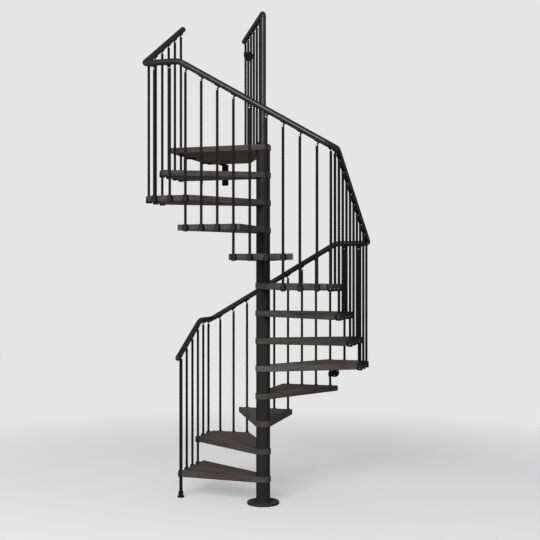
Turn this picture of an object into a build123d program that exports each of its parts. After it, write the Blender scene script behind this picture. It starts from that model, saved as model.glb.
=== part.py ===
from build123d import *
from math import cos, radians, sin, tan
import os

# A spiral staircase on a square plan. Millimetres, +Z up. The origin is on the floor under the
# centre pole, X runs along the front of the square to the right, and Y runs to the back.

# Steps
rise = 217.8                    # from one tread's top to the next
riser_count = 13                # twelve treads, and the landing as the last step
step_angle = 30.0               # turn from one tread to the next, clockwise seen from above
first_tread_angle = 165.0       # direction of the first tread from the pole
approach_turn = 0.4             # further turn of the last tread before each corner
tread_half_angle = 13.6         # a tread's sides open this much each way from its middle
tread_thickness = 45.0
tread_corner_cut = 4.0          # outer corners in plan
tread_edge_cut = 3.0            # bevel round the upper and lower edges

# Centre pole
pole_radius = 30.0
spacer_radius = 55.5
spacer_wall = 6.0
hub_radius = 62.0               # the round end of each tread, around the pole
hub_steps = 10                  # flats that make up this round end
floor_flange_radius = 126.5
floor_flange_thickness = 12.0
floor_flange_cut = 3.0
running_gap = 0.15              # radial gap of a rod or tube in its socket

# Sides of the round sections, few where a piece repeats
rod_sides = 12
rail_sides = 16
spacer_sides = 24

# Balustrade on the four sides of the square
baluster_line = 701.5           # distance of the balusters from the pole, square to each side
baluster_spacing = 124.2
baluster_radius = 10.0
balusters_each_way = 5          # balusters on each side of the middle one
handrail_radius = 22.5
handrail_over_corner_tread = 980.0
handrail_level_run = 278.0      # the level stretch before each corner
handrail_kink_round = 150.0
handrail_corner_round = 30.0
handrail_start = -62.0          # where the handrail starts, before the middle of the left side
handrail_end = 43.0             # where it ends, past the middle of the left side
rail_joint_thickness = 3.0
rail_joint_proud = 0.6
rail_joint_places = {1: -0.5, 2: -0.5, 3: 0.5}  # on each side, in balusters past the middle
rail_cap_turns = (0.0, 35.0, 65.0)  # where the domed caps step in, round their quarter circle
start_post_radius = 13.5

# Clamps that hold the balusters to the tread edges
clamp_setback = 21.5            # from a baluster's axis in to the tread edge
clamp_reach = 17.0              # from a baluster's axis out to the clamp's face
clamp_wall = 9.0                # beside the rod, in the round lower half
clamp_lip = 1.5                 # beside the rod, at the narrower top
clamp_depth = 54.0              # from the tread's top, where the clamp starts, down to its end
clamp_floor = 8.0               # what is left under a baluster that ends in its clamp

# Pivoting saddles under the handrail
pivot_drop = 43.5               # from the handrail's axis down to the pivot, square to the rail
saddle_length = 38.0
saddle_width = 22.0
saddle_thickness = 4.0
saddle_overlap = 7.0            # how far the saddle reaches past the lug's middle, downhill
lug_thickness = 6.0
lug_width = 12.0
lug_sides = 8                   # its rounded lower end
fork_above_pivot = 3.0

# Feet of the start post and of the landing's balusters
post_foot_radius = 28.5
post_foot_thickness = 10.0
post_sleeve_radius = 20.5
post_sleeve_height = 48.0
baluster_foot_radius = 24.0
baluster_foot_thickness = 8.0
baluster_sleeve_radius = 16.5
baluster_sleeve_height = 44.0
foot_cut = 2.5

# Landing and its balustrade
landing_left = -765.0
landing_back = 795.0
landing_open_edge = 118.0       # direction of the open edge and of its balustrade
landing_open_margin = 48.0      # from the balustrade to the open edge
landing_handrail_height = 1042.0
landing_handrail_length = 949.0
landing_baluster_spacing = 145.3
landing_baluster_count = 6
newel_elbow_round = 30.0
newel_elbow_end = 1.0           # straight end of the elbow, before the landing's handrail
elbow_trim = 0.01               # what the elbow's bend leaves straight at its foot
hub_cover_radius = 50.0
hub_cover_thickness = 5.0
edge_hole_radius = 3.5
edge_hole_depth = 20.0
edge_hole_inset = 75.0          # from the landing's left edge
landing_collar_height = 8.0     # under the landing, round the baluster that passes through it

# Walls beside the stair, and what is screwed to them
wall_left = -782.0
wall_back = 862.0
rosette_radius = 42.0
rosette_thickness = 9.0
rosette_cut = 2.5
rosette_boss_radius = 15.0
rosette_boss_height = 16.0
rosette_screw_circle = 58.0
rosette_screw_count = 3
rosette_screw_radius = 2.75
arm_radius = 8.0
arm_collar_radius = 16.0
arm_collar_height = 38.0
stair_arm_side = 1              # the back
stair_arm_baluster = 3          # the baluster that it holds, counted from the side's middle
stair_arm_above_tread = 90.0    # above the lowest tread that this baluster stands at
landing_arm_below_handrail = 129.0
angle_width = 60.0
angle_thickness = 6.0
angle_leg = 90.0                # along the landing's underside
angle_drop = 185.0              # down the wall
angle_bend_round = 8.0
angle_corner_cut = 6.0
angle_hole_radius = 4.5
angle_hole_spacing = 100.0
angle_hole_inset = 30.0         # lowest hole, from the lower end
left_angle_places = (280.0, 650.0)
back_angle_place = -632.0

tread_count = riser_count - 1
tread_edge = baluster_line - clamp_setback
landing_top = riser_count * rise
landing_bottom = landing_top - tread_thickness
bore_radius = pole_radius + running_gap
rises_per_side = 90.0 / step_angle
side_climb = rises_per_side * rise
handrail_slope_run = 2 * baluster_line - handrail_level_run
handrail_slope = side_climb / handrail_slope_run
landing_handrail_z = landing_top + landing_handrail_height


side_names = {"left": (0, 4), "back": (1,), "right": (2,), "front": (3,)}
last_side = 4
handrail_names = ("lower", "back_right", "right_front", "upper")

# The stair climbs along the left side, the back, the right side and the front of the square,
# and once more along the left side: sides 0 to 4. A place on a side is its distance past the
# side's middle, on the way up.

def side_outward(side):
    return Vector(1, 0, 0).rotate(Axis.Z, 180.0 - 90.0 * side)


def side_upward(side):
    return Vector(1, 0, 0).rotate(Axis.Z, 90.0 - 90.0 * side)


def side_point(side, place, height, out=baluster_line):
    return side_outward(side) * out + side_upward(side) * place + Vector(0, 0, height)


def corner_height(side):
    # the handrail's height at the corner where a side begins
    return (rises_per_side * side - 1) * rise + handrail_over_corner_tread


def handrail_height(side, place):
    climbed = min(place + baluster_line, handrail_slope_run)
    return corner_height(side) + handrail_slope * climbed


def handrail_direction(side, place):
    if place + baluster_line < handrail_slope_run:
        return (side_upward(side) + Vector(0, 0, handrail_slope)).normalized()
    return side_upward(side)


def tread_angle(number):
    extra = approach_turn if number % rises_per_side == 1 else 0
    return first_tread_angle - step_angle * (number - 1) - extra


def tread_top(number):
    return rise * number


def edge_span(number, side):
    # the stretch of a side that a tread's outer edge covers, or None
    middle = radians(tread_angle(number) - (180.0 - 90.0 * side))
    spread = radians(tread_half_angle)
    places = []
    for turn in (-1, 1):
        lean = middle + turn * spread
        if abs(cos(lean)) < 1e-6 or cos(middle) < 0:
            return None
        places.append(-(tread_edge * tan(lean) + turn * hub_radius / cos(lean)))
    low, high = max(min(places), -tread_edge), min(max(places), tread_edge)
    return (low, high) if low < high else None


def treads_at(side, place):
    # the treads whose edge a baluster passes or ends at, lowest first
    found = []
    for number in range(1, tread_count + 1):
        if abs(number - (rises_per_side * side + 0.5)) > rises_per_side:
            continue
        span = edge_span(number, side)
        if span and span[0] + baluster_radius < place < span[1] - baluster_radius:
            found.append(number)
    return found


def side_places(side):
    places = [n * baluster_spacing for n in range(-balusters_each_way, balusters_each_way + 1)]
    if side == 0:
        return [place for place in places if place > baluster_radius]
    if side == 4:
        return [place for place in places if place < baluster_radius]
    return places


# Pieces

def write(piece, name):
    piece.part.label = name
    export_step(piece.part, f"parts/{name}.step")


def few_sided(radius, sides, mode=Mode.ADD):
    # a round section, drawn with flats that face its plane's axes
    return RegularPolygon(radius, sides, rotation=180 / sides, mode=mode)


def level_across(direction):
    return Vector(0, 0, 1).cross(direction)


def is_outer(corner):
    # tells a tread's corners at the edge of the square from those at its hub
    return Vector(corner.X, corner.Y).length > 2 * hub_radius


def make_tread(number):
    angle = tread_angle(number)
    length = 2 * tread_edge
    right, left = angle - tread_half_angle, angle + tread_half_angle
    hub_turn = (180 - 2 * tread_half_angle) / hub_steps
    turns = [left + 90 + hub_turn * step for step in range(hub_steps + 1)]
    hub_end = [Vector(hub_radius, 0, 0).rotate(Axis.Z, turn) for turn in turns]
    far_right = hub_end[-1] + Vector(length, 0, 0).rotate(Axis.Z, right)
    far_left = hub_end[0] + Vector(length, 0, 0).rotate(Axis.Z, left)
    with BuildPart() as tread:
        with BuildSketch(Plane.XY.offset(tread_top(number) - tread_thickness)) as plan:
            with BuildLine():
                Polyline(*hub_end, far_right, far_left, close=True)
            make_face()
            Rectangle(2 * tread_edge, 2 * tread_edge, mode=Mode.INTERSECT)
            chamfer(plan.vertices().filter_by(is_outer), length=tread_corner_cut)
        extrude(amount=tread_thickness)
        faces = tread.faces().sort_by(Axis.Z)
        chamfer(faces[0].edges() + faces[-1].edges(), length=tread_edge_cut)
        with BuildSketch(Plane.XY.offset(tread_top(number))):
            few_sided(bore_radius, rod_sides)
        extrude(amount=-tread_thickness, mode=Mode.SUBTRACT)
    return tread


def make_landing():
    across = landing_open_edge - 90
    near = Vector(landing_open_margin, 0, 0).rotate(Axis.Z, across)
    reach = (landing_back - near.Y) / sin(radians(landing_open_edge))
    far = near + Vector(reach, 0, 0).rotate(Axis.Z, landing_open_edge)
    with BuildPart() as landing:
        with BuildSketch(Plane.XY.offset(landing_bottom)) as plan:
            with BuildLine():
                Polyline(
                    (0, -hub_radius),
                    (landing_left, -hub_radius),
                    (landing_left, landing_back),
                    far,
                    near,
                    close=True,
                )
            make_face()
            Circle(hub_radius)
            chamfer(plan.vertices().filter_by(is_outer), length=tread_corner_cut)
        extrude(amount=tread_thickness)
        faces = landing.faces().sort_by(Axis.Z)
        chamfer(faces[0].edges() + faces[-1].edges(), length=tread_edge_cut)
        with BuildSketch(Plane.XY.offset(landing_top)):
            few_sided(bore_radius, rod_sides)
            with Locations(side_point(last_side, 0, 0)):
                few_sided(baluster_radius + running_gap, rod_sides)
        extrude(amount=-tread_thickness, mode=Mode.SUBTRACT)
        hole_place = (landing_left + edge_hole_inset, -hub_radius, landing_top - tread_thickness / 2)
        with Locations(Plane(origin=hole_place, z_dir=(0, -1, 0))):
            Hole(edge_hole_radius, depth=edge_hole_depth)
    return landing


def make_floor_flange():
    with BuildPart() as flange:
        with BuildSketch():
            Circle(floor_flange_radius)
        extrude(amount=floor_flange_thickness)
        chamfer(flange.faces().sort_by(Axis.Z)[-1].edges(), length=floor_flange_cut)
    return flange


def make_centre_pole():
    with BuildPart() as pole:
        with BuildSketch(Plane.XY.offset(floor_flange_thickness)):
            few_sided(pole_radius, rod_sides)
        extrude(amount=landing_top - floor_flange_thickness)
    return pole


def make_spacers():
    with BuildPart() as spacers:
        for number in range(riser_count):
            bottom = tread_top(number) if number else floor_flange_thickness
            with BuildSketch(Plane.XY.offset(bottom)):
                few_sided(spacer_radius, spacer_sides)
                few_sided(spacer_radius - spacer_wall, rod_sides, Mode.SUBTRACT)
            extrude(amount=tread_top(number + 1) - tread_thickness - bottom)
    return spacers


def make_newel():
    with BuildPart() as newel:
        with BuildSketch(Plane(landing_place(0, landing_top), x_dir=landing_place(1, 0))):
            few_sided(handrail_radius, rail_sides)
        extrude(amount=landing_handrail_height - newel_elbow_round)
    return newel


def sweep_rail(points, rounds, level):
    with BuildPart() as tube:
        with BuildLine() as route:
            FilletPolyline(*points, radius=rounds)
        start = route.wires()[0]
        with BuildSketch(Plane(origin=start @ 0, x_dir=level, z_dir=start % 0)):
            few_sided(handrail_radius, rail_sides)
        sweep()
    return tube


def landing_place(distance, height):
    # a place along the landing's open balustrade, from the newel
    return Vector(distance, 0, 0).rotate(Axis.Z, landing_open_edge) + Vector(0, 0, height)


def make_newel_elbow():
    points = [
        landing_place(0, landing_handrail_z - newel_elbow_round),
        landing_place(0, landing_handrail_z),
        landing_place(newel_elbow_round + newel_elbow_end, landing_handrail_z),
    ]
    return sweep_rail(points, [newel_elbow_round - elbow_trim], landing_place(1, 0))


def rail_point(side, place):
    return side_point(side, place, handrail_height(side, place))


def beside_joint(side, way):
    # the end of a rail length, against the ring between it and the next
    place = rail_joint_places[side] * baluster_spacing
    return rail_point(side, place) + handrail_direction(side, place) * (way * rail_joint_thickness / 2)


def make_handrail(side):
    # round the corner at the end of a side, from one joint to the next
    first = rail_point(0, handrail_start) if side == 0 else beside_joint(side, 1)
    if side + 1 == last_side:
        last = rail_point(last_side, handrail_end)
    else:
        last = beside_joint(side + 1, -1)
    height = corner_height(side + 1)
    points = [
        first,
        side_point(side, baluster_line - handrail_level_run, height),
        side_point(side, baluster_line, height),
        last,
    ]
    level = level_across(side_upward(side))
    return sweep_rail(points, [handrail_kink_round, handrail_corner_round], level)


def make_landing_handrail():
    start = newel_elbow_round + newel_elbow_end
    origin = landing_place(start, landing_handrail_z)
    along = landing_place(1, 0)
    with BuildPart() as rail:
        with BuildSketch(Plane(origin, x_dir=level_across(along), z_dir=along)):
            few_sided(handrail_radius, rail_sides)
        extrude(amount=landing_handrail_length - start)
    return rail


def make_rail_joints():
    with BuildPart() as joints:
        for side, place in rail_joint_places.items():
            direction = handrail_direction(side, place * baluster_spacing)
            with BuildSketch(Plane(beside_joint(side, -1), x_dir=level_across(direction), z_dir=direction)):
                few_sided(handrail_radius + rail_joint_proud, rail_sides)
            extrude(amount=rail_joint_thickness)
    return joints


def make_rail_ends():
    # domed caps on the two ends of the stair's handrail and on the landing's wall end
    landing_end = landing_place(landing_handrail_length, landing_handrail_z)
    ends = [
        (rail_point(0, handrail_start), handrail_direction(0, handrail_start) * -1),
        (rail_point(last_side, handrail_end), handrail_direction(last_side, handrail_end)),
        (landing_end, landing_place(1, 0)),
    ]
    with BuildPart() as caps:
        for origin, direction in ends:
            for turn in rail_cap_turns:
                step = origin + direction * (handrail_radius * sin(radians(turn)))
                with BuildSketch(Plane(step, x_dir=level_across(direction), z_dir=direction)):
                    few_sided(handrail_radius * cos(radians(turn)), rail_sides)
            loft(ruled=True)
    return caps


def make_baluster(stand, pivot, along, radius):
    # a rod whose forked upper end takes the lug of its saddle
    with BuildPart() as baluster:
        with BuildSketch(Plane(stand)):
            few_sided(radius, rod_sides)
        extrude(amount=pivot.Z + fork_above_pivot - stand.Z)
        slot_bottom = pivot - Vector(0, 0, lug_width / 2 + running_gap)
        with BuildSketch(Plane(origin=slot_bottom, x_dir=along, z_dir=(0, 0, 1))):
            Rectangle(3 * radius, lug_thickness + 2 * running_gap)
        extrude(amount=lug_width + fork_above_pivot, mode=Mode.SUBTRACT)
    return baluster.part


def make_saddle(pivot, direction, inward):
    # in the handrail's own slant: x runs up the rail and y square to it, up to the rail
    slant = Plane(origin=pivot, x_dir=direction, z_dir=inward)
    seat = pivot_drop - handrail_radius
    with BuildPart() as saddle:
        with BuildSketch(slant):
            few_sided(lug_width / 2, lug_sides)
            with Locations((0, seat / 2)):
                Rectangle(lug_width * cos(radians(180 / lug_sides)), seat)
        extrude(amount=lug_thickness / 2, both=True)
        with BuildSketch(slant):
            with Locations((saddle_length / 2 - saddle_overlap, seat)):
                Rectangle(saddle_length, 2 * saddle_thickness)
        extrude(amount=saddle_width / 2, both=True)
        rail_middle = pivot + slant.y_dir * pivot_drop
        round_rail = handrail_radius + running_gap
        with BuildSketch(Plane(rail_middle, x_dir=level_across(direction), z_dir=direction)):
            RegularPolygon(round_rail, rod_sides, major_radius=False, rotation=180 / rod_sides)
        extrude(amount=2 * saddle_length, both=True, mode=Mode.SUBTRACT)
    return saddle.part


def pivot_under(side, place):
    level = handrail_direction(side, place).dot(side_upward(side))
    return rail_point(side, place) - Vector(0, 0, pivot_drop / level)


def baluster_bottom(number):
    # inside the clamp of the lowest tread that holds it
    return tread_top(number) - clamp_depth + clamp_floor


def make_balusters(sides):
    with BuildPart() as group:
        for side in sides:
            for place in side_places(side):
                stand = side_point(side, place, baluster_bottom(treads_at(side, place)[0]))
                add(make_baluster(stand, pivot_under(side, place), side_upward(side), baluster_radius))
    return group


def make_start_post():
    with BuildPart() as post:
        add(make_baluster(side_point(0, 0, 0), pivot_under(0, 0), side_upward(0), start_post_radius))
    return post


def make_saddles(sides):
    with BuildPart() as group:
        for side in sides:
            start_post = [0.0] if side == 0 else []
            for place in start_post + side_places(side):
                inward = side_outward(side) * -1
                add(make_saddle(pivot_under(side, place), handrail_direction(side, place), inward))
    return group


def make_clamp(number, side, place, radius, ends_here):
    # on the tread's edge, drawn up from its lowest point
    lowest = tread_top(number) - clamp_depth
    origin = side_point(side, place, lowest, tread_edge)
    inward = side_outward(side) * -1
    bore_start = baluster_bottom(number) if ends_here else lowest
    bore = radius + running_gap
    with BuildPart() as clamp:
        with BuildSketch(Plane(origin, x_dir=side_upward(side), z_dir=inward)):
            with Locations((0, radius + clamp_wall)):
                few_sided(radius + clamp_wall, rod_sides)
            with Locations((0, clamp_depth - radius / 2)):
                Rectangle(2 * (bore + clamp_lip), radius)
            make_hull()
        extrude(amount=-(clamp_setback + clamp_reach))
        with BuildSketch(Plane(side_point(side, place, bore_start))):
            few_sided(bore, rod_sides)
        extrude(amount=clamp_depth, mode=Mode.SUBTRACT)
    return clamp.part


def make_clamps(sides):
    with BuildPart() as group:
        if 0 in sides:
            for number in treads_at(0, 0):
                add(make_clamp(number, 0, 0, start_post_radius, False))
        for side in sides:
            for place in side_places(side):
                held = treads_at(side, place)
                for number in held:
                    add(make_clamp(number, side, place, baluster_radius, number == held[0]))
    return group


def landing_baluster_places():
    return [landing_baluster_spacing * n for n in range(1, landing_baluster_count + 1)]


def landing_pivot(distance):
    return landing_place(distance, landing_handrail_z - pivot_drop)


def make_landing_balusters():
    with BuildPart() as group:
        for distance in landing_baluster_places():
            stand = landing_place(distance, landing_top)
            add(make_baluster(stand, landing_pivot(distance), landing_place(1, 0), baluster_radius))
    return group


def make_landing_saddles():
    direction = landing_place(1, 0)
    with BuildPart() as group:
        for distance in landing_baluster_places():
            add(make_saddle(landing_pivot(distance), direction, direction.cross(Vector(0, 0, 1))))
    return group


def make_foot(stand, foot_radius, thickness, sleeve_radius, height, rod_radius):
    # a flanged sleeve round the rod that it holds
    with BuildPart() as foot:
        with BuildSketch(Plane(stand)):
            few_sided(foot_radius, rail_sides)
        extrude(amount=thickness)
        chamfer(foot.faces().sort_by(Axis.Z)[-1].edges(), length=foot_cut)
        with BuildSketch(Plane(stand + Vector(0, 0, thickness))):
            few_sided(sleeve_radius, rod_sides)
        extrude(amount=height - thickness)
        with BuildSketch(Plane(stand)):
            few_sided(rod_radius + running_gap, rod_sides)
        extrude(amount=height, mode=Mode.SUBTRACT)
    return foot.part


def make_start_foot():
    with BuildPart() as foot:
        add(make_foot(
            side_point(0, 0, 0), post_foot_radius, post_foot_thickness,
            post_sleeve_radius, post_sleeve_height, start_post_radius,
        ))
    return foot


def make_landing_rings():
    # what closes the joint between each post and the landing
    with BuildPart() as rings:
        for distance in landing_baluster_places():
            add(make_foot(
                landing_place(distance, landing_top), baluster_foot_radius, baluster_foot_thickness,
                baluster_sleeve_radius, baluster_sleeve_height, baluster_radius,
            ))
        with BuildSketch(Plane(landing_place(0, landing_top), x_dir=landing_place(1, 0))):
            few_sided(hub_cover_radius, spacer_sides)
            few_sided(handrail_radius + running_gap, rail_sides, Mode.SUBTRACT)
        extrude(amount=hub_cover_thickness)
        # under the landing, round the last stair baluster, which passes up through it
        with BuildSketch(Plane(side_point(last_side, 0, landing_bottom))):
            few_sided(baluster_sleeve_radius, rod_sides)
            few_sided(baluster_radius + running_gap, rod_sides, Mode.SUBTRACT)
        extrude(amount=-landing_collar_height)
    return rings


def arm_places():
    # where the two wall arms hold their balusters
    place = stair_arm_baluster * baluster_spacing
    tread = treads_at(stair_arm_side, place)[0]
    stair = side_point(stair_arm_side, place, tread_top(tread) + stair_arm_above_tread)
    last = landing_baluster_places()[-1]
    return [stair, landing_place(last, landing_handrail_z - landing_arm_below_handrail)]


def make_rosettes():
    with BuildPart() as rosettes:
        for held in arm_places():
            on_wall = Plane(origin=(held.X, wall_back, held.Z), x_dir=(1, 0, 0), z_dir=(0, -1, 0))
            with BuildSketch(on_wall):
                few_sided(rosette_radius, spacer_sides)
            extrude(amount=rosette_thickness - rosette_cut)
            with BuildSketch(on_wall.offset(rosette_thickness - rosette_cut)):
                few_sided(rosette_radius, spacer_sides)
            with BuildSketch(on_wall.offset(rosette_thickness)):
                few_sided(rosette_radius - rosette_cut, spacer_sides)
            loft(ruled=True)
            with BuildSketch(on_wall.offset(rosette_thickness)):
                few_sided(rosette_boss_radius, rod_sides)
            extrude(amount=rosette_boss_height - rosette_thickness)
            with Locations(on_wall.offset(rosette_thickness)):
                with PolarLocations(rosette_screw_circle / 2, rosette_screw_count, start_angle=-90):
                    Hole(rosette_screw_radius, depth=rosette_thickness)
    return rosettes


def make_wall_arms():
    with BuildPart() as arms:
        for held in arm_places():
            arm_start = Plane(origin=held, x_dir=(1, 0, 0), z_dir=(0, 1, 0))
            with BuildSketch(arm_start):
                few_sided(arm_radius, rod_sides)
            extrude(amount=wall_back - rosette_boss_height - held.Y)
            with BuildSketch(Plane(held)):
                few_sided(arm_collar_radius, rod_sides)
            extrude(amount=arm_collar_height / 2, both=True)
            with BuildSketch(Plane(held)):
                few_sided(baluster_radius + running_gap, rod_sides)
            extrude(amount=arm_collar_height, both=True, mode=Mode.SUBTRACT)
    return arms


def make_angle(at_wall, into_room):
    # a bent strip: one leg under the landing, the other down the wall
    up = Vector(0, 0, 1)
    with BuildPart() as angle:
        with BuildSketch(Plane(origin=at_wall, x_dir=into_room, z_dir=into_room.cross(up))) as profile:
            with BuildLine():
                Polyline(
                    (0, 0),
                    (angle_leg, 0),
                    (angle_leg, -angle_thickness),
                    (angle_thickness, -angle_thickness),
                    (angle_thickness, -angle_drop),
                    (0, -angle_drop),
                    close=True,
                )
            make_face()
            outer_bend = profile.vertices().sort_by_distance(at_wall)[0]
            fillet(outer_bend, radius=angle_bend_round)
            inside = at_wall + (into_room - up) * angle_thickness
            inner_bend = profile.vertices().sort_by_distance(inside)[0]
            fillet(inner_bend, radius=angle_bend_round - angle_thickness)
        extrude(amount=angle_width / 2, both=True)
        leg_end = angle.faces().sort_by(Axis(at_wall, into_room))[-1]
        lower_end = angle.faces().sort_by(Axis.Z)[0]
        ends = leg_end.edges().filter_by(Axis.Z) + lower_end.edges().filter_by(Axis(at_wall, into_room))
        chamfer(ends, length=angle_corner_cut)
        lowest = at_wall - up * (angle_drop - angle_hole_inset) + into_room * angle_thickness
        for hole in (lowest, lowest + up * angle_hole_spacing):
            with Locations(Plane(origin=hole, z_dir=into_room)):
                Hole(angle_hole_radius, depth=angle_thickness)
    return angle.part


def make_landing_angles():
    with BuildPart() as angles:
        for place in left_angle_places:
            add(make_angle(Vector(wall_left, place, landing_bottom), Vector(1, 0, 0)))
        add(make_angle(Vector(back_angle_place, wall_back, landing_bottom), Vector(0, -1, 0)))
    return angles


os.makedirs("parts", exist_ok=True)

write(make_floor_flange(), "floor_flange")
write(make_centre_pole(), "centre_pole")
write(make_spacers(), "spacer_tubes")
for step in range(1, tread_count + 1):
    write(make_tread(step), f"tread_{step:02d}")
write(make_landing(), "landing")
write(make_newel(), "landing_newel")
write(make_newel_elbow(), "newel_elbow")
write(make_start_post(), "start_post")
write(make_start_foot(), "start_post_foot")
for name, sides in side_names.items():
    write(make_balusters(sides), f"balusters_{name}")
    write(make_clamps(sides), f"tread_clamps_{name}")
    write(make_saddles(sides), f"rail_saddles_{name}")
for side, name in enumerate(handrail_names):
    write(make_handrail(side), f"handrail_{name}")
write(make_landing_balusters(), "balusters_landing")
write(make_landing_saddles(), "rail_saddles_landing")
write(make_landing_rings(), "landing_post_rings")
write(make_landing_handrail(), "handrail_landing")
write(make_rail_joints(), "rail_joint_rings")
write(make_rail_ends(), "rail_end_caps")
write(make_rosettes(), "wall_rosettes")
write(make_wall_arms(), "wall_arms")
write(make_landing_angles(), "landing_angles")
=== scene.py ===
import math

import bmesh
import bpy
from mathutils import Matrix, Vector


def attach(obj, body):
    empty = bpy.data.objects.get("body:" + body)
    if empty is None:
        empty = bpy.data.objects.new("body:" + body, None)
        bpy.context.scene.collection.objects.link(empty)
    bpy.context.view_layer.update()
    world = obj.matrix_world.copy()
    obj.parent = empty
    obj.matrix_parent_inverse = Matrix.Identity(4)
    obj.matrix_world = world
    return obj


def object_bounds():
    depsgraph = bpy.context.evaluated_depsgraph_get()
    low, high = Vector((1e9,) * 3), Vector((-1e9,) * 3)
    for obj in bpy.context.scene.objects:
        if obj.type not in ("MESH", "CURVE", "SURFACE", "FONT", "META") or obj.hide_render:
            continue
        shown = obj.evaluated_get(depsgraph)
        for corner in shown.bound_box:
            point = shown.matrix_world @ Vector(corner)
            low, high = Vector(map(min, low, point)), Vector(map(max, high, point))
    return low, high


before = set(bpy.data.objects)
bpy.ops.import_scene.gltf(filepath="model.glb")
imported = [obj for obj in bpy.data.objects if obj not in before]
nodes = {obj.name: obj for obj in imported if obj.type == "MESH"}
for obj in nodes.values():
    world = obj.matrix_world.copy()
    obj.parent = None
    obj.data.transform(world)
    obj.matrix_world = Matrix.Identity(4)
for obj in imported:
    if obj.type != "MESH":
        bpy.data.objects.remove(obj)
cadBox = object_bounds()
up = Vector((0, 0, 1))
print("frame loaded:", len(nodes), "nodes")

# the stair's own pattern, in metres and degrees, as in the CAD
stair = {
    "rise": 0.2178,
    "risesToLanding": 13,
    "stepAngle": 30,
    "firstTreadAngle": 165,
    "treadsPerSide": 3,
    "firstCornerTread": 2,
    "line": 0.7015,  # from the pole to each side's balusters and handrail
    "railOverCorner": 0.98,
    "railRadius": 0.0225,
    "landingRailUp": 1.042,
    "openEdge": 118,  # the way that the landing's open edge runs from the pole
    "elbowRound": 0.03,
}


def level(angle):
    # a direction in plan, its angle in degrees from +X
    return Vector((math.cos(math.radians(angle)), math.sin(math.radians(angle)), 0))


# Node trees

def linear(red, green, blue, paintedLight=1):
    # a colour as read off a screen, 0 to 255, as Blender's scene colour, times a factor of painted light or
    # shade
    def one(v):
        v /= 255
        return paintedLight * (v / 12.92 if v <= 0.04045 else ((v + 0.055) / 1.055) ** 2.4)
    return (one(red), one(green), one(blue), 1)


class Wire:
    # wraps a socket, so that node maths reads as maths
    def __init__(self, tree, socket):
        self.tree = tree
        self.socket = socket

    def maths(self, operation, first, second):
        return self.tree.add("Math", {"operation": operation}, {0: first, 1: second})

    def __add__(self, other):
        return self.maths("ADD", self, other)

    def __radd__(self, other):
        return self.maths("ADD", other, self)

    def __sub__(self, other):
        return self.maths("SUBTRACT", self, other)

    def __rsub__(self, other):
        return self.maths("SUBTRACT", other, self)

    def __mul__(self, other):
        return self.maths("MULTIPLY", self, other)

    def __rmul__(self, other):
        return self.maths("MULTIPLY", other, self)


class Tree:
    # fills one node tree
    def __init__(self, nodeTree):
        self.nodes = nodeTree.nodes
        self.links = nodeTree.links
        self.nodes.clear()

    def put(self, socket, value):
        if isinstance(value, Wire):
            self.links.new(value.socket, socket)
        else:
            socket.default_value = value

    def add(self, kind, settings=None, inputs=None, output=0):
        # shader nodes go by their short names, others by their full ones
        full = kind if kind.startswith(("Geometry", "Function", "NodeGroup")) else "ShaderNode" + kind
        node = self.nodes.new(full)
        for key, value in (settings or {}).items():
            setattr(node, key, value)
        for key, value in (inputs or {}).items():
            self.put(node.inputs[key], value)
        return Wire(self, node.outputs[output]) if len(node.outputs) else None

    def noise(self, vector, scale=1, detail=4, roughness=0.5, stretch=None):
        if stretch:
            vector = self.add("VectorMath", {"operation": "MULTIPLY"}, {0: vector, 1: stretch})
        return self.add("TexNoise", None, {
            "Vector": vector, "Scale": scale, "Detail": detail, "Roughness": roughness})

    def between(self, value, low, high, toLow=0, toHigh=1):
        return self.add("MapRange", {"clamp": True}, {
            "Value": value, "From Min": low, "From Max": high, "To Min": toLow, "To Max": toHigh})

    def mixColour(self, factor, first, second):
        # 6, 7 and 2 are the node's colour sockets
        return self.add("Mix", {"data_type": "RGBA"}, {0: factor, 6: first, 7: second}, 2)

    def mixShader(self, factor, first, second):
        return self.add("MixShader", None, {0: factor, 1: first, 2: second})

    def bump(self, height, strength, distance, softEdge, samples=6):
        # softEdge rounds the look of the edges by this much
        inputs = {"Height": height, "Strength": strength, "Distance": distance}
        if softEdge:
            inputs["Normal"] = self.add("Bevel", {"samples": samples}, {"Radius": softEdge})
        return self.add("Bump", None, inputs)

    def surface(self, shader, kind="OutputMaterial"):
        self.add(kind, None, {"Surface": shader})


def newMaterial(name):
    material = bpy.data.materials.new(name)
    material.use_nodes = True
    return material, Tree(material.node_tree)


# Materials: lengths in metres, colours as read off a screen

woodLook = {
    "dark": (62, 56, 51),
    "light": (97, 90, 84),
    "red": (90, 77, 70),
    "pore": (44, 39, 36),
    "treadPaintedLight": {5: 1.45, 6: 0.9, 9: 0.9},  # painted light and shade: treads made lighter or darker for how the light falls on them
    # painted light: the landing's wood made lighter for how the light falls on it
    "landingPaintedLight": 1.12,
    "landingSeed": 40,
    "seedShift": (3.7, 1.9, 0.61),  # so that no two treads are cut from one place
    "sway": {"detail": 2, "stretch": (1.1, 5, 5)},
    "swayBy": (0, 0.06, 0.03),
    "streaks": {"detail": 7, "roughness": 0.62, "stretch": (1.3, 40, 64)},
    "streakRange": (0.3, 0.7),
    "bands": {"detail": 3, "stretch": (0.8, 9, 14)},
    "bandShare": 0.3,
    "grainRange": (0.34, 0.66),
    "redRange": (0.5, 0.75),
    "redShare": 0.4,
    "pores": {"detail": 2, "roughness": 0.7, "stretch": (14, 520, 520)},
    "poreRange": (0.56, 0.72),
    "poreShare": 0.5,
    "roughness": (0.6, 0.72),
    "poreRoughness": 0.1,
    "specular": 0.02,
    "streakHeight": 0.4,
    "poreDepth": 0.6,
    "relief": 0.2,
    "reliefDepth": 0.0006,
    "softEdge": 0.0015,
}


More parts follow.
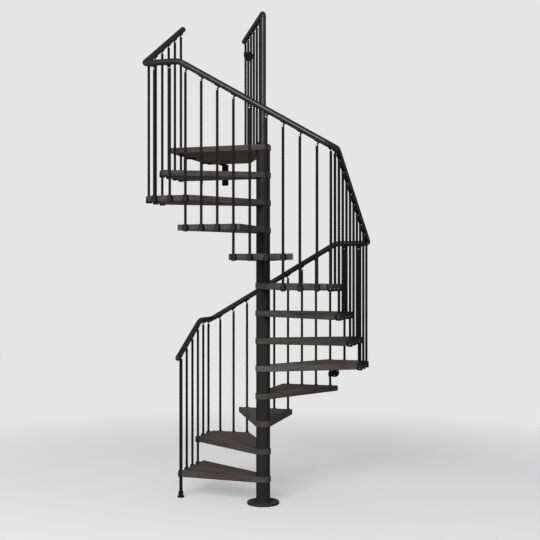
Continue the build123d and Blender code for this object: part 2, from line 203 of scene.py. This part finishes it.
def makeWood(name, angle, seed, paintedLight=1):
    # stained wood, its grain running along the direction angle; the last factor makes it lighter as painted
    # light or darker as painted shade
    look = woodLook
    dark, light, red, pore = (linear(*look[key], paintedLight) for key in ("dark", "light", "red", "pore"))
    material, tree = newMaterial(name)
    where = tree.add("TexCoord", output="Object")
    turned = tree.add("VectorRotate", {"rotation_type": "Z_AXIS"}, {"Vector": where, "Angle": -angle})
    seedShift = [seed * by for by in look["seedShift"]]
    along = tree.add("VectorMath", {"operation": "ADD"}, {0: turned, 1: seedShift})
    sway = tree.noise(along, **look["sway"]) - 0.5
    sideways = tree.add("CombineXYZ", None, {"Y": sway, "Z": sway})
    bent = tree.add("VectorMath", {"operation": "MULTIPLY_ADD"}, {0: sideways, 1: look["swayBy"], 2: along})
    streaks = tree.noise(bent, **look["streaks"])
    bands = tree.noise(bent, **look["bands"])
    pores = tree.between(tree.noise(bent, **look["pores"]), *look["poreRange"])
    grain = streaks * (1 - look["bandShare"]) + bands * look["bandShare"]
    colour = tree.mixColour(tree.between(grain, *look["grainRange"]), dark, light)
    colour = tree.mixColour(tree.between(bands, *look["redRange"]) * look["redShare"], colour, red)
    colour = tree.mixColour(pores * look["poreShare"], colour, pore)
    roughness = tree.between(streaks, *look["streakRange"], *look["roughness"])
    height = streaks * look["streakHeight"] - pores * look["poreDepth"]
    tree.surface(tree.add("BsdfPrincipled", None, {
        "Base Color": colour,
        "Roughness": roughness + pores * look["poreRoughness"],
        "Specular IOR Level": look["specular"],
        "Normal": tree.bump(height, look["relief"], look["reliefDepth"], look["softEdge"]),
    }))
    return material


coatDetail = {
    "clouds": {"scale": 7, "detail": 4},
    "cloudRange": (0.3, 0.7),
    "cloudShare": 0.5,
    "rubs": {"scale": 26, "detail": 5, "roughness": 0.65},
    "rubRange": (0.55, 0.72),
    "rubShare": 0.3,
    "rubRoughness": 0.06,
    "rubDulls": 0.2,  # the share of its sheen that a rubbed patch loses
    "peelDetail": 2,
    "speckScale": 0.35,  # of the peel's scale
    "speckDetail": 3,
    "speckShare": 0.4,
    "reliefDepth": 0.0003,
    "flatRoughness": 0.8,
    "gloss": (190, 190, 192),
}


def makeCoat(name, colour, worn, roughness, sheen, peelScale=700, relief=0.12, softEdge=0.001):
    # paint or moulded plastic: faint clouding, a fine orange peel, and rubbed patches
    look = coatDetail
    material, tree = newMaterial(name)
    where = tree.add("TexCoord", output="Object")
    clouds = tree.noise(where, **look["clouds"])
    rubbed = tree.between(tree.noise(where, **look["rubs"]), *look["rubRange"])
    peel = tree.noise(where, peelScale, look["peelDetail"])
    speck = tree.noise(where, peelScale * look["speckScale"], look["speckDetail"])
    colour, worn = linear(*colour), linear(*worn)
    clouded = tree.between(clouds, *look["cloudRange"]) * look["cloudShare"]
    shade = tree.mixColour(rubbed * look["rubShare"], tree.mixColour(clouded, colour, worn), worn)
    height = peel * (1 - look["speckShare"]) + speck * look["speckShare"]
    normal = tree.bump(height, relief, look["reliefDepth"], softEdge)
    flat = tree.add("BsdfPrincipled", None, {
        "Base Color": shade,
        "Roughness": look["flatRoughness"],
        "Specular IOR Level": 0.0,
        "Normal": normal,
    })
    glossRoughness = tree.between(clouds, *look["cloudRange"], *roughness)
    glossy = tree.add("BsdfPrincipled", None, {
        "Base Color": linear(*look["gloss"]),
        "Metallic": 1.0,
        "Roughness": glossRoughness + rubbed * look["rubRoughness"],
        "Normal": normal,
    })
    # a set share of sheen at every angle, so the sides of a round bar stay dark
    tree.surface(tree.mixShader(sheen * (1 - rubbed * look["rubDulls"]), flat, glossy))
    return material


steelDetail = {
    "clouds": {"scale": 180, "detail": 4},
    "colourRange": (0.35, 0.65),
    "roughRange": (0.3, 0.7),
    "scratches": {"detail": 2, "stretch": (2600, 300, 900)},
    "relief": 0.1,
    "reliefDepth": 0.0001,
    "softEdge": 0.0003,
}


def makeSteel(name, dark, light, roughness):
    # plated steel, with fine scratches
    look = steelDetail
    material, tree = newMaterial(name)
    where = tree.add("TexCoord", output="Object")
    clouds = tree.noise(where, **look["clouds"])
    scratches = tree.noise(where, **look["scratches"])
    clouded = tree.between(clouds, *look["colourRange"])
    tree.surface(tree.add("BsdfPrincipled", None, {
        "Base Color": tree.mixColour(clouded, linear(*dark), linear(*light)),
        "Metallic": 1.0,
        "Roughness": tree.between(clouds, *look["roughRange"], *roughness),
        "Normal": tree.bump(scratches, look["relief"], look["reliefDepth"], look["softEdge"]),
    }))
    return material


coatLooks = {
    "poleCoat": dict(colour=(38, 38, 39), worn=(44, 44, 45), roughness=(0.4, 0.46), sheen=0.012),
    # painted light: the cover is the pole's paint made lighter for the light that falls on its top
    "coverPaintedLightCoat": dict(colour=(55, 55, 56), worn=(62, 62, 63), roughness=(0.45, 0.52), sheen=0.01),
    "flangeCoat": dict(colour=(34, 34, 35), worn=(42, 42, 43), roughness=(0.45, 0.52), sheen=0.01),
    "rodCoat": dict(colour=(27, 27, 28), worn=(33, 33, 34), roughness=(0.42, 0.5), sheen=0.006,
                    relief=0.05, softEdge=0),
    "railCoat": dict(colour=(26, 26, 27), worn=(32, 33, 34), roughness=(0.21, 0.26), sheen=0.045),
    # painted light: the rail's own paint made lighter for how the light falls on the landing rail
    "landingRailPaintedLightCoat": dict(colour=(36, 36, 37), worn=(42, 42, 43), roughness=(0.21, 0.26), sheen=0.045),
    "elbowCoat": dict(colour=(26, 26, 27), worn=(32, 33, 34), roughness=(0.2, 0.24), sheen=0.065),
    "saddleCoat": dict(colour=(16, 16, 17), worn=(22, 22, 23), roughness=(0.42, 0.5), sheen=0.008),
    "clampPlastic": dict(colour=(29, 29, 30), worn=(35, 35, 36), roughness=(0.4, 0.5), sheen=0.02,
                         peelScale=1400, relief=0.2, softEdge=0.005),
    "fittingCoat": dict(colour=(15, 15, 16), worn=(22, 22, 23), roughness=(0.42, 0.52), sheen=0.008),
    "seamShadow": dict(colour=(5, 5, 6), worn=(9, 9, 10), roughness=(0.6, 0.7), sheen=0.002),
}
steelLooks = {
    "screwSteel": dict(dark=(112, 112, 111), light=(148, 148, 147), roughness=(0.38, 0.5)),
    "pinSteel": dict(dark=(160, 160, 159), light=(196, 196, 194), roughness=(0.38, 0.5)),
    "brightZinc": dict(dark=(215, 215, 213), light=(240, 240, 238), roughness=(0.5, 0.6)),
}
finishes = {name: makeCoat(name, **look) for name, look in coatLooks.items()}
finishes.update({name: makeSteel(name, **look) for name, look in steelLooks.items()})

# a node takes the finish of the longest of these that its name starts with
nodeFinish = {
    "centre_pole": "poleCoat",
    "spacer_tubes": "poleCoat",
    "floor_flange": "flangeCoat",
    "start_post": "rodCoat",
    "balusters": "rodCoat",
    "tread_clamps": "clampPlastic",
    "rail_saddles": "saddleCoat",
    "rail_joint_rings": "seamShadow",
    "rail_end_caps": "railCoat",
    "handrail": "railCoat",
    "handrail_landing": "landingRailPaintedLightCoat",
    "newel_elbow": "elbowCoat",
    "landing_newel": "railCoat",
    "landing_post_rings": "rodCoat",
    "landing_angles": "fittingCoat",
    "wall_arms": "fittingCoat",
    "wall_rosettes": "fittingCoat",
}


def finishOf(name):
    if name == "landing":
        # the landing's wood, lightened as painted light
        return makeWood("landingWood", 0, woodLook["landingSeed"], woodLook["landingPaintedLight"])
    kind, _, number = name.partition("_")
    if kind == "tread" and number.isdigit():
        number = int(number)
        turn = stair["firstTreadAngle"] - stair["stepAngle"] * (number - 1)
        # each tread's wood takes its factor of painted light or shade
        return makeWood(f"treadWood{number}", math.radians(turn), number, woodLook["treadPaintedLight"].get(number, 1))
    match = max((start for start in nodeFinish if name.startswith(start)), key=len)
    return finishes[nodeFinish[match]]


softShadeLook = {"mergeWithin": 0.00001, "sharpAbove": 34}


def makeSoftShade():
    # joins the corners that a CAD mesh repeats, and shades its few-sided rounds smooth
    look = softShadeLook
    group = bpy.data.node_groups.new("softShade", "GeometryNodeTree")
    for way in ("INPUT", "OUTPUT"):
        group.interface.new_socket("Geometry", in_out=way, socket_type="NodeSocketGeometry")
    tree = Tree(group)
    shape = tree.add("NodeGroupInput")
    shape = tree.add("GeometryNodeRemoveAttribute", None, {"Geometry": shape, "Name": "custom_normal"})
    shape = tree.add("GeometryNodeMergeByDistance", None, {
        "Geometry": shape, "Distance": look["mergeWithin"]})
    shape = tree.add("GeometryNodeSetShadeSmooth", None, {"Geometry": shape, "Shade Smooth": True})
    angle = tree.add("GeometryNodeInputMeshEdgeAngle")
    soft = tree.add("FunctionNodeCompare", {"data_type": "FLOAT", "operation": "LESS_THAN"}, {
        0: angle, 1: math.radians(look["sharpAbove"])})
    shape = tree.add("GeometryNodeSetShadeSmooth", {"domain": "EDGE"}, {
        "Geometry": shape, "Shade Smooth": soft})
    tree.add("NodeGroupOutput", None, {"Geometry": shape})
    return group


softShade = makeSoftShade()
for name, node in nodes.items():
    node.data.materials.clear()
    node.data.materials.append(finishOf(name))
    node.modifiers.new("softShade", "NODES").node_group = softShade
print("materials on the frame's nodes")


# Mesh helpers

def ring(size, count, height, place, shape="round", waist=0.34):
    # one closed outline at a height: size is a circle's radius, half a hexagon's width or a cross's reach,
    # and waist is how narrow the cross is between its arms
    points = []
    for n in range(count):
        turn = 2 * math.pi * n / count
        reach = size
        if shape == "hex":
            reach /= math.cos((turn % (math.pi / 3)) - math.pi / 6)
        if shape == "cross":
            reach *= waist + (1 - waist) * abs(math.cos(2 * turn)) ** 3
        points.append(place @ Vector((reach * math.cos(turn), reach * math.sin(turn), height)))
    return points


def loft(bm, rings, closeEnds=True):
    # skins a row of rings that have the same number of points
    rows = [[bm.verts.new(p) for p in points] for points in rings]
    count = len(rows[0])
    for lower, upper in zip(rows, rows[1:]):
        for n in range(count):
            bm.faces.new((lower[n], lower[(n + 1) % count], upper[(n + 1) % count], upper[n]))
    if closeEnds:
        bm.faces.new(list(reversed(rows[0])))
        bm.faces.new(rows[-1])


def turnTo(origin, direction):
    # a frame whose z runs along direction
    return Matrix.Translation(origin) @ direction.to_track_quat("Z", "Y").to_matrix().to_4x4()


def finishPiece(name, bm, finish, smoothAngle=35):
    mesh = bpy.data.meshes.new(name)
    bmesh.ops.recalc_face_normals(bm, faces=bm.faces)
    bm.to_mesh(mesh)
    bm.free()
    mesh.shade_smooth()
    mesh.set_sharp_from_angle(angle=math.radians(smoothAngle))
    mesh.materials.append(finishes[finish])
    piece = bpy.data.objects.new(name, mesh)
    bpy.context.scene.collection.objects.link(piece)
    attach(piece, "root")


def islands(name, digits=5):
    # the box of each separate solid in a node, as its low and high corners
    mesh = nodes[name].data
    keys = {}
    parent = {}

    def find(key):
        while parent[key] != key:
            parent[key] = parent[parent[key]]
            key = parent[key]
        return key

    for vertex in mesh.vertices:
        key = tuple(round(c, digits) for c in vertex.co)
        keys[vertex.index] = key
        parent.setdefault(key, key)
    for edge in mesh.edges:
        first, second = (find(keys[v]) for v in edge.vertices)
        parent[first] = second
    groups = {}
    for key in parent:
        groups.setdefault(find(key), []).append(key)
    boxes = []
    for points in groups.values():
        low = Vector([min(p[i] for p in points) for i in range(3)])
        high = Vector([max(p[i] for p in points) for i in range(3)])
        boxes.append((low, high))
    return boxes


def outwardOf(middle):
    # the outward direction of the side of the square that a place is on
    if abs(middle.x) > abs(middle.y):
        return Vector((math.copysign(1, middle.x), 0, 0))
    return Vector((0, math.copysign(1, middle.y), 0))


# Screws, pins and bolts

screwLook = {
    "points": 24,
    "sink": 0.001,
    "profile": ((1, 0.35), (0.9, 0.8), (0.72, 1)),  # shares of the head's radius and height
    "recessWidth": {"hex": 0.5, "cross": 0.62},
    "recessDepth": 0.55,
    "recessTaper": 0.92,
}


def addScrew(bm, origin, direction, radius, height, recess="hex"):
    # a low domed head with a driver recess
    look = screwLook
    at = turnTo(origin, direction)
    count = look["points"]
    width = radius * look["recessWidth"][recess]
    rings = [ring(radius, count, -look["sink"], at)]
    rings += [ring(radius * out, count, height * high, at) for out, high in look["profile"]]
    rings.append(ring(width, count, height, at, recess))
    rings.append(ring(width * look["recessTaper"], count, height * (1 - look["recessDepth"]), at, recess))
    loft(bm, rings)


pinLook = {
    "radius": 0.0043,
    "height": 0.0016,
    "belowTop": 0.006,
    "fromAxis": 0.0096,
    "postFromAxis": 0.013,  # on the start post, which is thicker
}


def addPins(bm, name, outward=None):
    # a pin's two heads, where the saddle's lug turns in the rod's fork
    look = pinLook
    fromAxis = look["postFromAxis"] if name == "start_post" else look["fromAxis"]
    for low, high in islands(name):
        middle = (low + high) / 2
        way = outward or outwardOf(middle)
        pivot = Vector((middle.x, middle.y, high.z - look["belowTop"]))
        for side in (way, -way):
            addScrew(bm, pivot + side * fromAxis, side, look["radius"], look["height"])


def makePivotPins():
    bm = bmesh.new()
    for name in ("balusters_left", "balusters_back", "balusters_right", "balusters_front", "start_post"):
        addPins(bm, name)
    addPins(bm, "balusters_landing", level(stair["openEdge"]).cross(up))
    finishPiece("pivotPins", bm, "pinSteel")


clampScrewLook = {
    "radius": 0.0044,
    "height": 0.0014,
    "fromFace": 0.017,  # back from the clamp's outermost face
}


def makeClampScrews():
    look = clampScrewLook
    bm = bmesh.new()
    for name in ("tread_clamps_left", "tread_clamps_back", "tread_clamps_right", "tread_clamps_front"):
        for low, high in islands(name):
            middle = (low + high) / 2
            outward = outwardOf(middle)
            travel = outward.cross(up)
            size = high - low
            halfWidth = abs(size.dot(travel)) / 2
            halfDepth = abs(size.dot(outward)) / 2
            place = Vector((middle.x, middle.y, low.z + halfWidth))
            place += travel * halfWidth + outward * (halfDepth - look["fromFace"])
            addScrew(bm, place, travel, look["radius"], look["height"])
    finishPiece("clampScrews", bm, "screwSteel")


rosetteLook = {
    "circle": 0.029,
    "turns": (-90, 30, 150),
    "radius": 0.0042,
    "height": 0.0022,
    "plate": 0.009,  # its thickness, off the wall
}


def makeRosetteScrews():
    look = rosetteLook
    forward = Vector((0, -1, 0))
    bm = bmesh.new()
    for low, high in islands("wall_rosettes"):
        centre = Vector(((low.x + high.x) / 2, high.y - look["plate"], (low.z + high.z) / 2))
        for turn in map(math.radians, look["turns"]):
            place = centre + Vector((math.cos(turn), 0, math.sin(turn))) * look["circle"]
            addScrew(bm, place, forward, look["radius"], look["height"], "cross")
    finishPiece("rosetteScrews", bm, "brightZinc")


angleLook = {
    "thick": 0.006,
    "boltsUp": (0.03, 0.13),  # above the angle's lower end
    "boltRadius": 0.0085,
    "boltHeight": 0.0052,
    "boltPoints": 24,
    "boltSink": 0.001,
    "washerRadius": 1.05,  # this and the next four are shares of the bolt's radius and height
    "washerTop": 0.2,
    "hexWidth": 0.76,
    "hexTop": 0.85,
    "domeRadius": 0.68,
    "screwRadius": 0.0045,
    "screwHeight": 0.002,
    "screwOut": 0.078,
    "screwsAcross": (-0.017, 0.017),
}


def addBolt(bm, origin, direction):
    # a six-sided head on its washer
    look = angleLook
    at = turnTo(origin, direction)
    radius, height, count = look["boltRadius"], look["boltHeight"], look["boltPoints"]
    loft(bm, [
        ring(radius * look["washerRadius"], count, -look["boltSink"], at),
        ring(radius * look["washerRadius"], count, height * look["washerTop"], at),
        ring(radius * look["hexWidth"], count, height * look["washerTop"], at, "hex"),
        ring(radius * look["hexWidth"], count, height * look["hexTop"], at, "hex"),
        ring(radius * look["domeRadius"], count, height, at),
    ])


def makeAngleFixings():
    look = angleLook
    leftWall, backWall = cadBox[0][0], cadBox[1][1]
    bm = bmesh.new()
    for low, high in islands("landing_angles"):
        middle = (low + high) / 2
        if low.x - leftWall < backWall - high.y:
            foot, way, across = Vector((low.x, middle.y, low.z)), Vector((1, 0, 0)), Vector((0, 1, 0))
        else:
            foot, way, across = Vector((middle.x, high.y, low.z)), Vector((0, -1, 0)), Vector((1, 0, 0))
        for lift in look["boltsUp"]:
            addBolt(bm, foot + up * lift + way * look["thick"], way)
        tip = foot + way * look["screwOut"]
        tip.z = high.z - look["thick"]
        for aside in look["screwsAcross"]:
            addScrew(bm, tip + across * aside, -up, look["screwRadius"], look["screwHeight"], "cross")
    finishPiece("angleFixings", bm, "fittingCoat")


makePivotPins()
makeClampScrews()
makeRosetteScrews()
makeAngleFixings()
print("screws, pins and bolts")


# The cover that hides the floor flange's bolts

coverLook = {
    "sides": 96,
    "smoothAngle": 50,
    # radius and height above the flange, from the outer edge in to the pole
    "profile": ((0.1262, -0.0002), (0.1268, 0.0012), (0.1266, 0.0030), (0.1252, 0.0052), (0.1226, 0.0068),
                (0.1190, 0.0077), (0.1140, 0.0080), (0.0610, 0.0080), (0.0582, 0.0074), (0.0574, 0.0060),
                (0.0572, 0.0004)),
}


def makeFlangeCover():
    look = coverLook
    bm = bmesh.new()
    flangeTop = max(v.co.z for v in nodes["floor_flange"].data.vertices)
    onFlange = Matrix.Translation(up * flangeTop)
    loft(bm, [ring(out, look["sides"], high, onFlange) for out, high in look["profile"]], closeEnds=False)
    # its coat is lightened as painted light from above
    finishPiece("flangeCover", bm, "coverPaintedLightCoat", look["smoothAngle"])


makeFlangeCover()
print("flange cover")


# Seams, painted as shade

seamLook = {
    "width": 0.0009,
    "newelWidth": 0.005,
    "proud": 0.00012,
    "sunk": 0.0004,
    "sides": 16,
    "fromCorner": 0.036,
}


def addSeam(bm, origin, direction, across, width):
    # painted shade: a thin near-black ring round the handrail or the newel, for the shadow in the gap where
    # two lengths meet
    look = seamLook
    axes = Matrix((across, direction.cross(across), direction)).transposed().to_4x4()
    at = Matrix.Translation(origin) @ axes @ Matrix.Rotation(math.pi / look["sides"], 4, "Z")
    inner, outer, half = stair["railRadius"] - look["sunk"], stair["railRadius"] + look["proud"], width / 2
    profile = ((inner, -half), (outer, -half), (outer, half), (inner, half))
    loft(bm, [ring(out, look["sides"], high, at) for out, high in profile], closeEnds=False)


def makeRailSeams():
    look = seamLook
    bm = bmesh.new()
    landingTop = stair["risesToLanding"] * stair["rise"]
    newelTop = landingTop + stair["landingRailUp"] - stair["elbowRound"]
    addSeam(bm, up * newelTop, up, level(stair["openEdge"]), look["newelWidth"])
    for side in range(4):
        # the corner where each side of the square ends, clockwise from the left side
        outward = level(180 - 90 * side)
        travel = outward.cross(up)
        cornerTread = stair["firstCornerTread"] + stair["treadsPerSide"] * side
        corner = (outward + travel) * stair["line"]
        corner.z = cornerTread * stair["rise"] + stair["railOverCorner"]
        addSeam(bm, corner - travel * look["fromCorner"], travel, up.cross(travel), look["width"])
    finishPiece("railSeamShadows", bm, "seamShadow")


makeRailSeams()
print("seams")


# Floor, light and camera

stageLook = {
    "size": 14,
    "sides": 96,
    "floor": (242, 242, 242),
    "speck": (238, 238, 238),
    "specks": {"scale": 3, "detail": 3},
    "underLight": (38, 38, 38),  # what the floor throws back up
    "seenThrough": 0.42,
    "fadeFrom": 2.2,
    "fadeTo": 5.5,
    "backdrop": (229, 229, 229),
    "worldStrength": 0.34,
}


def seenRay(tree):
    # 1 for what the camera sees, straight or in a surface
    seen = tree.add("LightPath", output="Is Camera Ray")
    for kind in ("Is Glossy Ray", "Is Transmission Ray"):
        seen = seen.maths("MAXIMUM", seen, tree.add("LightPath", output=kind))
    return seen


def addFloor():
    # a pale floor that fades into the backdrop
    look = stageLook
    material, tree = newMaterial("paleFloor")
    where = tree.add("TexCoord", output="Object")
    pale, speck, underLight = (linear(*look[key]) for key in ("floor", "speck", "underLight"))
    seen = seenRay(tree)
    shade = tree.mixColour(tree.noise(where, **look["specks"]), pale, speck)
    shade = tree.mixColour(seen, underLight, shade)
    away = tree.add("VectorMath", {"operation": "LENGTH"}, {0: where}, "Value")
    fade = tree.add("MapRange", {"clamp": True, "interpolation_type": "SMOOTHSTEP"}, {
        "Value": away, "From Min": look["fadeFrom"], "From Max": look["fadeTo"],
        "To Min": look["seenThrough"], "To Max": 1})
    solid = tree.add("BsdfDiffuse", None, {"Color": shade})
    tree.surface(tree.mixShader(fade * seen, solid, tree.add("BsdfTransparent")))
    bm = bmesh.new()
    bmesh.ops.create_circle(bm, cap_ends=True, segments=look["sides"], radius=look["size"])
    mesh = bpy.data.meshes.new("floor")
    bm.to_mesh(mesh)
    bm.free()
    mesh.materials.append(material)
    floor = bpy.data.objects.new("floor", mesh)
    bpy.context.scene.collection.objects.link(floor)


def addWorld():
    look = stageLook
    world = bpy.data.worlds.new("backdrop")
    bpy.context.scene.world = world
    world.use_nodes = True
    tree = Tree(world.node_tree)
    light = tree.add("Background", None, {"Color": (1, 1, 1, 1), "Strength": look["worldStrength"]})
    backdrop = tree.add("Background", None, {"Color": linear(*look["backdrop"])})
    tree.surface(tree.mixShader(seenRay(tree), light, backdrop), "OutputWorld")


lampLooks = {
    "key": {"place": (-0.6, -8.3, 6.0), "aim": (0, 0, 1.8), "size": (5, 4), "power": 690},
    "fill": {"place": (-5.0, -3.5, 2.4), "aim": (0, 0, 1.8), "size": (3, 4), "power": 50},
    "side": {"place": (5.0, -4.4, 2.4), "aim": (0, 0, 1.9), "size": (1.4, 4), "power": 105},
}


def addLamp(name, place, aim, size, power):
    data = bpy.data.lights.new(name, "AREA")
    data.shape = "RECTANGLE"
    data.size, data.size_y = size
    data.energy = power
    lamp = bpy.data.objects.new(name, data)
    lamp.location = place
    lamp.rotation_euler = (Vector(aim) - Vector(place)).to_track_quat("-Z", "Y").to_euler()
    bpy.context.scene.collection.objects.link(lamp)


cameraLook = {
    "place": (2.298, -7.167, 1.8255),
    "turn": 17.365,
    "framePixels": 540,
    "focalPixels": 952.1,
    "shiftPixels": 2.38,
    "sensor": 36,
    "seesTo": 200,
}


def addCamera():
    look = cameraLook
    data = bpy.data.cameras.new("camera")
    data.sensor_width = look["sensor"]
    data.lens = look["focalPixels"] / look["framePixels"] * look["sensor"]
    data.shift_y = look["shiftPixels"] / look["framePixels"]
    data.clip_end = look["seesTo"]
    camera = bpy.data.objects.new("camera", data)
    camera.location = look["place"]
    camera.rotation_euler = (math.radians(90), 0, math.radians(look["turn"]))
    bpy.context.scene.collection.objects.link(camera)
    bpy.context.scene.camera = camera


addFloor()
addWorld()
for name, look in lampLooks.items():
    addLamp(name, **look)
addCamera()
bpy.context.scene.view_settings.view_transform = "Standard"
print("floor, light and camera")
